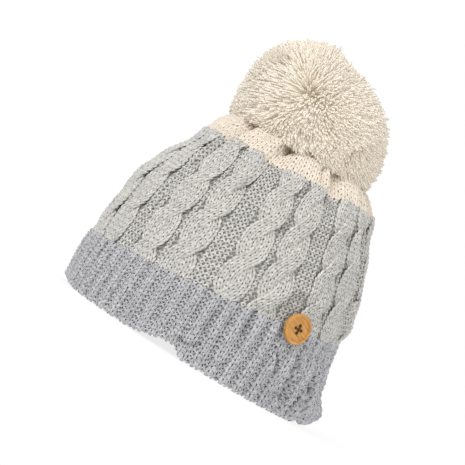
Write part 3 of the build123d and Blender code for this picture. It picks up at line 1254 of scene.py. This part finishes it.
def fold_label():
    """A band of tape, folded at the bottom: down the wall's side and up again in front."""
    mesh = bmesh.new()
    bottom = LABEL_DROP - FOLD_RADIUS
    turns = np.linspace(0, -math.pi, 13)[1:-1]
    drops = np.linspace(0, bottom, 26)
    front = [(FOLD_RADIUS, -drop) for drop in drops]
    bend = [(FOLD_RADIUS * math.cos(a), -bottom + FOLD_RADIUS * math.sin(a)) for a in turns]
    back = [(-FOLD_RADIUS, -drop) for drop in drops[::-1]]
    profile = front + bend + back
    before = profile[0]
    first = label_top + label_inward * before[0]
    across = np.linspace(-LABEL_WIDTH / 2, LABEL_WIDTH / 2, 21)
    start = [mesh.verts.new(first + label_along * side) for side in across]
    edges = [mesh.edges.new(pair) for pair in zip(start, start[1:])]
    for depth, level in profile[1:]:
        last, edges = grow(mesh, edges)
        move = label_inward * (depth - before[0]) + np.array((0, 0, level - before[1]))
        bmesh.ops.translate(mesh, verts=last, vec=move)
        before = (depth, level)
    for vert in mesh.verts:
        away = (np.array(vert.co) - label_top) @ label_along
        drop = (label_top[2] - vert.co.z) / LABEL_DROP
        wave = 0.35 * drop * math.sin(away * 0.33 + drop * 2) + 0.5 * drop * drop
        vert.co += Vector(label_inward * wave)
    return bmesh_piece("care_label_tape", mesh)


label = fold_label()
thick = label.modifiers.new("Tape thickness", "SOLIDIFY")
thick.thickness = 0.16 * MM
thick.offset = 0


def stitch_line():
    """Small stitches over the label's top edge and into the cuff's inner face."""
    low, high = in_mm("label_stitches")
    level = (low[2] + high[2]) / 2
    cords = []
    for side in np.linspace(-10, 10, 11):
        path = []
        for share in np.linspace(0, 1, 14):
            out = 0.75 * math.sin(share * math.pi)
            place = label_top + label_along * (side + 1.3 * (share - 0.5))
            place = place + label_inward * (out - 0.1)
            path.append((place[0], place[1], level - 1.6 * (share - 0.35)))
        cords += plied(path, 0.33, 1.2)
    return cord_piece("label_thread", cords)


label_thread = stitch_line()


def seam_bars():
    """Slanting stitches up the inside of the back, from the brim to the crown."""
    cords = []
    for row in np.arange(0.5, CUFF_ROWS + BODY_ROWS + 8, 0.9):
        share = np.linspace(-1, 1, 9)
        stitch = PURL_MIDDLE + (180 - PURL_TURN) / 360 * STITCHES + share * 0.42
        middle = np.cos(share * math.pi / 2)
        path = on_form(stitch, row + share * 0.42, INNER_DEPTH - 0.5 - 0.5 * middle)
        cords.append(yarn_length(path, 0.55 + 0.25 * middle, 6))
    return cord_piece("back_seam_stitches", cords)


seam = seam_bars()
WHITE, OFF_WHITE = (0.75, 0.74, 0.71), (0.6, 0.59, 0.56)
white_thread = yarn_material("White thread", WHITE, OFF_WHITE, 0.2, twists=6.0, **THREAD)
finish_piece(label_thread, white_thread, "cap", "white_thread", "label_stitches")
finish_piece(seam, pale_yarn, "cap", "pale_grey_cable_yarn", "back_seam")


def satin_material():
    """Satin tape: fine ribs across it, painted shade that darkens the colour between the ribs, and a
    soft shine.
    """
    material, nodes, links, shader = new_material("White satin tape")
    place = nodes.new("ShaderNodeTexCoord")
    ribs = add_node(nodes, "TexWave", {"Scale": 900, "Distortion": 0.3}, bands_direction="Z")
    links.new(place.outputs["Object"], ribs.inputs["Vector"])
    # Painted shade: the ramp makes the tape darker where the ribs' bump sinks, between the ribs.
    ramp = nodes.new("ShaderNodeValToRGB")
    dark, light = ramp.color_ramp.elements
    dark.color = (0.66, 0.65, 0.62, 1)
    light.color = (0.80, 0.79, 0.76, 1)
    links.new(ribs.outputs[1], ramp.inputs[0])
    links.new(ramp.outputs[0], shader.inputs["Base Color"])
    press_in(nodes, links, ribs.outputs[1], shader, 0.3, 0.00008)
    shader.inputs["Roughness"].default_value = 0.36
    return material


finish_piece(label, satin_material(), "label", "white_satin_tape", "care_label")

# %% [markdown]
# ## Studio
# Soft light from one side brings out knitting, because every loop then has a lit face and a
# shaded one. A large key light stands above and to the left, a wide fill keeps the shadows
# open, and the floor is pale and fades into a white surround away from the hat.

# %% Light the hat and lay the floor
def area_light(name, place, size, power, target=(0, 0, 0.1)):
    data = bpy.data.lights.new(name, "AREA")
    data.size = size
    data.energy = power
    light = add_object(name, data)
    light.location = place
    light.rotation_euler = (Vector(target) - Vector(place)).to_track_quat("-Z", "Y").to_euler()


area_light("key_light", (-1.0, -1.1, 1.3), 0.9, 19)
area_light("fill_light", (0.9, -1.5, 0.6), 1.6, 10)
area_light("rim_light", (-0.2, 1.2, 1.3), 1.2, 8)


def studio_surround():
    world = bpy.data.worlds.new("studio_surround")
    world.use_nodes = True
    nodes, links = world.node_tree.nodes, world.node_tree.links
    seen = nodes.new("ShaderNodeLightPath")
    strength = add_node(nodes, "MapRange", {"To Min": 0.75, "To Max": 1.0})
    links.new(seen.outputs["Is Camera Ray"], strength.inputs["Value"])
    back = nodes["Background"]
    back.inputs["Color"].default_value = (1, 1, 1, 1)
    links.new(strength.outputs[0], back.inputs["Strength"])
    bpy.context.scene.world = world


def floor_material():
    material, nodes, links, shader = new_material("Pale floor")
    shader.inputs["Base Color"].default_value = (0.9, 0.9, 0.9, 1)
    shader.inputs["Roughness"].default_value = 0.9
    shader.inputs["Specular IOR Level"].default_value = 0.0
    place = nodes.new("ShaderNodeTexCoord")
    reach = add_node(nodes, "VectorMath", operation="LENGTH")
    links.new(place.outputs["Object"], reach.inputs[0])
    fade = add_node(nodes, "MapRange", {"From Min": 0.06, "From Max": 0.16, "To Min": 0.8})
    links.new(reach.outputs["Value"], fade.inputs["Value"])
    glow = add_node(nodes, "Emission", {"Strength": 1.0})
    mix = nodes.new("ShaderNodeMixShader")
    links.new(fade.outputs[0], mix.inputs[0])
    links.new(shader.outputs[0], mix.inputs[1])
    links.new(glow.outputs[0], mix.inputs[2])
    links.new(mix.outputs[0], nodes["Material Output"].inputs["Surface"])
    return material


def lay_floor():
    mesh = bmesh.new()
    bmesh.ops.create_circle(mesh, cap_ends=True, segments=64, radius=6)
    data = bpy.data.meshes.new("floor")
    mesh.to_mesh(data)
    mesh.free()
    floor = add_object("floor", data)
    data.materials.append(floor_material())
    floor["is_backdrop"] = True


studio_surround()
lay_floor()
bpy.context.scene.view_settings.view_transform = "Standard"

# %% [markdown]
# ## The sizes
# The hat in yarn is built on the CAD model's form, and the boxes of both are printed. The hat
# in yarn has to fill the same space as the CAD model.

# %% Print the sizes and finish
bpy.context.view_layer.update()
shown_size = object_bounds()
boxes = {"cad": cad_size, "visual": shown_size}
for title, box in boxes.items():
    print(title, "box", [np.round(np.array(corner) / MM, 1).tolist() for corner in box])
